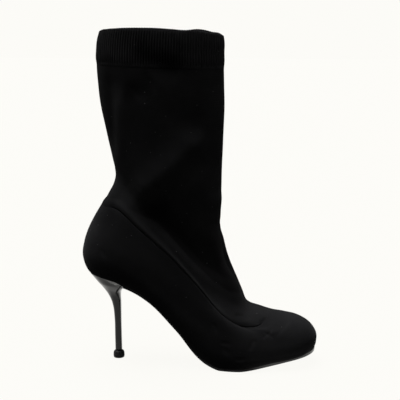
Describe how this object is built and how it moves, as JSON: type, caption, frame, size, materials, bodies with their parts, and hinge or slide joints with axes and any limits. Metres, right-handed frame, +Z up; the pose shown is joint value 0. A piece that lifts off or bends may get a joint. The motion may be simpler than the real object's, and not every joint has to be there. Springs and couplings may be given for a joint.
{
  "type": "ankle boot",
  "caption": "Slim knit sock ankle boot with a ribbed cuff, a pump-shaped foot covering, a thin arched sole and a tall pin heel, hollow and open at the collar.",
  "frame": {"origin": "middle of the shoe's plan box, on the floor it stands on", "axes": "+X towards the toe, +Z up along the leg, +Y towards the shoe's inner side"},
  "size_m": [0.2299, 0.0768, 0.3243],
  "materials": {
    "knit": "black stretch knit, ribbed at the cuff",
    "shell_cloth": "black close knit with a short nap",
    "insole_board": "black lining leather",
    "sole_rubber": "black, smooth edge",
    "heel_gloss": "glossy black",
    "tip": "black, satin"
  },
  "bodies": {
    "root": {"sock_upper": "knit", "foot_shell": "shell_cloth", "insole": "insole_board", "outsole": "sole_rubber", "heel": "heel_gloss", "heel_tip": "tip"}
  },
  "joints": []
}
